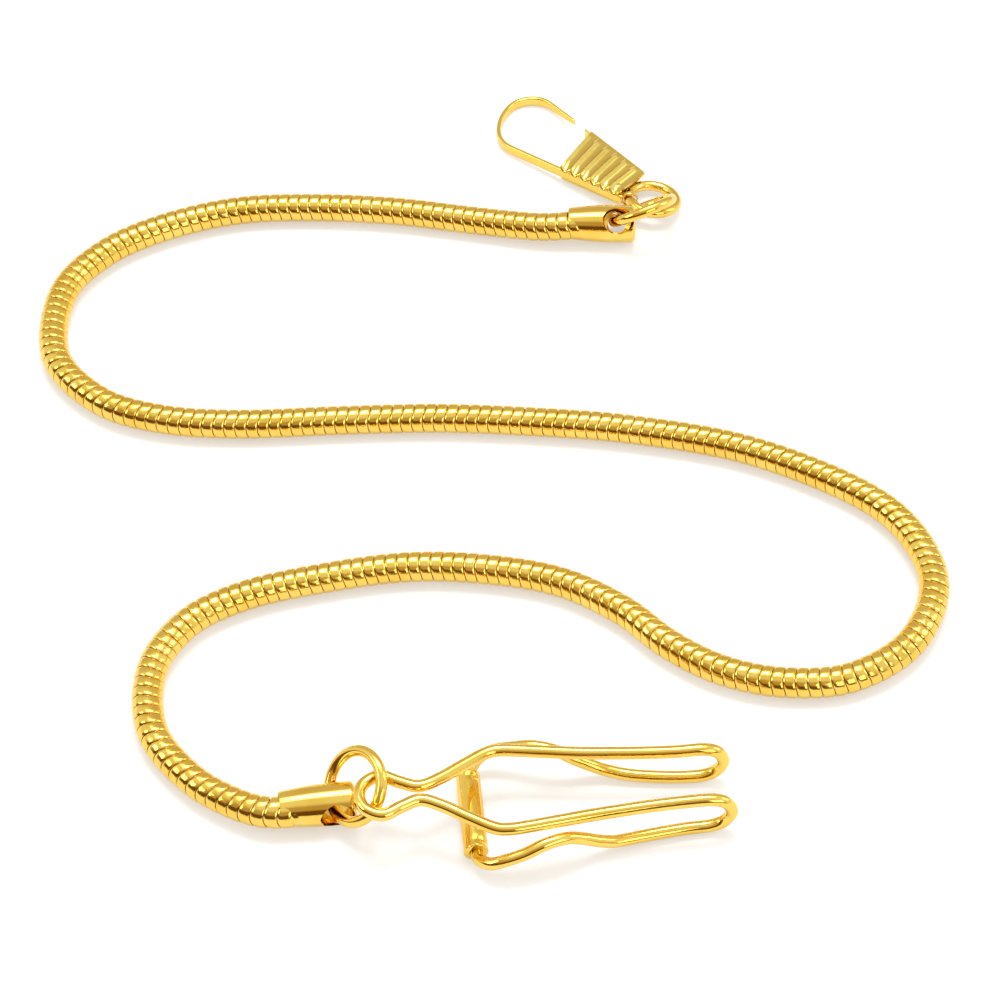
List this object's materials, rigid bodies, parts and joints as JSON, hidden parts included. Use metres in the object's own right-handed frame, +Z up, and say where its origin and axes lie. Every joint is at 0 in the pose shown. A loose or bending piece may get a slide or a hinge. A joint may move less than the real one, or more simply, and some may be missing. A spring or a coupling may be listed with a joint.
{
  "type": "pocket watch chain",
  "caption": "Round snake chain with end caps and rings, a strip hook with a sprung lever gate at the watch end and a folded wire hook at the vest end.",
  "frame": {"origin": "middle of the metal fittings' bounding box, on the surface they lie on; the chain itself is left out of that box", "axes": "+Z up from the surface; +Y from the vest hook towards the watch clip; +X to the right when +Y points away"},
  "size_m": [0.0915, 0.1044, 0.0073],
  "materials": {
    "plated_gold": "polished gold plate",
    "chain_gold": "polished gold plate over many close links",
    "lever_gold": "brushed gold plate",
    "spring_steel": "plain spring strip"
  },
  "bodies": {
    "chain": {"snake_chain": "chain_gold", "watch_end_cap": "plated_gold", "hook_end_cap": "plated_gold"},
    "cap_ring": {"watch_cap_ring": "plated_gold"},
    "small_ring": {"clip_ring": "plated_gold"},
    "clip": {"clip_hook": "plated_gold", "clip_pivot_pin": "plated_gold", "clip_spring": "spring_steel"},
    "lever": {"clip_lever": "lever_gold"},
    "vest_ring": {"hook_cap_ring": "plated_gold"},
    "vest_hook": {"vest_hook_wire": "plated_gold", "vest_hook_sleeve": "plated_gold"}
  },
  "joints": [
    {"name": "cap_ring_swing", "type": "hinge", "parent": "chain", "child": "cap_ring", "pos_m": [0.0117, 0.0313, 0.002], "axis": [0.035, -0.5725, 0.8191], "range_deg": [-14, 88]},
    {"name": "clip_ring_slide", "type": "hinge", "parent": "cap_ring", "child": "small_ring", "pos_m": [0.01443, 0.03238, 0.00295], "axis": [-0.3699, 0.6084, 0.7022], "range_deg": [-140, 1]},
    {"name": "clip_slide", "type": "hinge", "parent": "small_ring", "child": "clip", "pos_m": [0.01565, 0.0357, 0.00135], "axis": [0.1029, 0.1647, 0.981], "range_deg": [-120, 0]},
    {"name": "lever_press", "type": "hinge", "parent": "clip", "child": "lever", "pos_m": [0.01187, 0.03681, 0.0015], "axis": [-0.0453, 0.0327, 0.9984], "range_deg": [0, 12], "stiffness_Nm_per_rad": 0.003, "springref_deg": -2.86, "deforming": ["clip_spring"]},
    {"name": "vest_ring_swing", "type": "hinge", "parent": "chain", "child": "vest_ring", "pos_m": [-0.01595, -0.04479, 0.002], "axis": [0.1955, -0.9782, 0.0698], "range_deg": [-170, 80]},
    {"name": "vest_hook_slide", "type": "hinge", "parent": "vest_ring", "child": "vest_hook", "pos_m": [-0.014, -0.04445, 0.00422], "axis": [-0.6601, -0.3659, 0.6561], "range_deg": [-60, 40]}
  ]
}
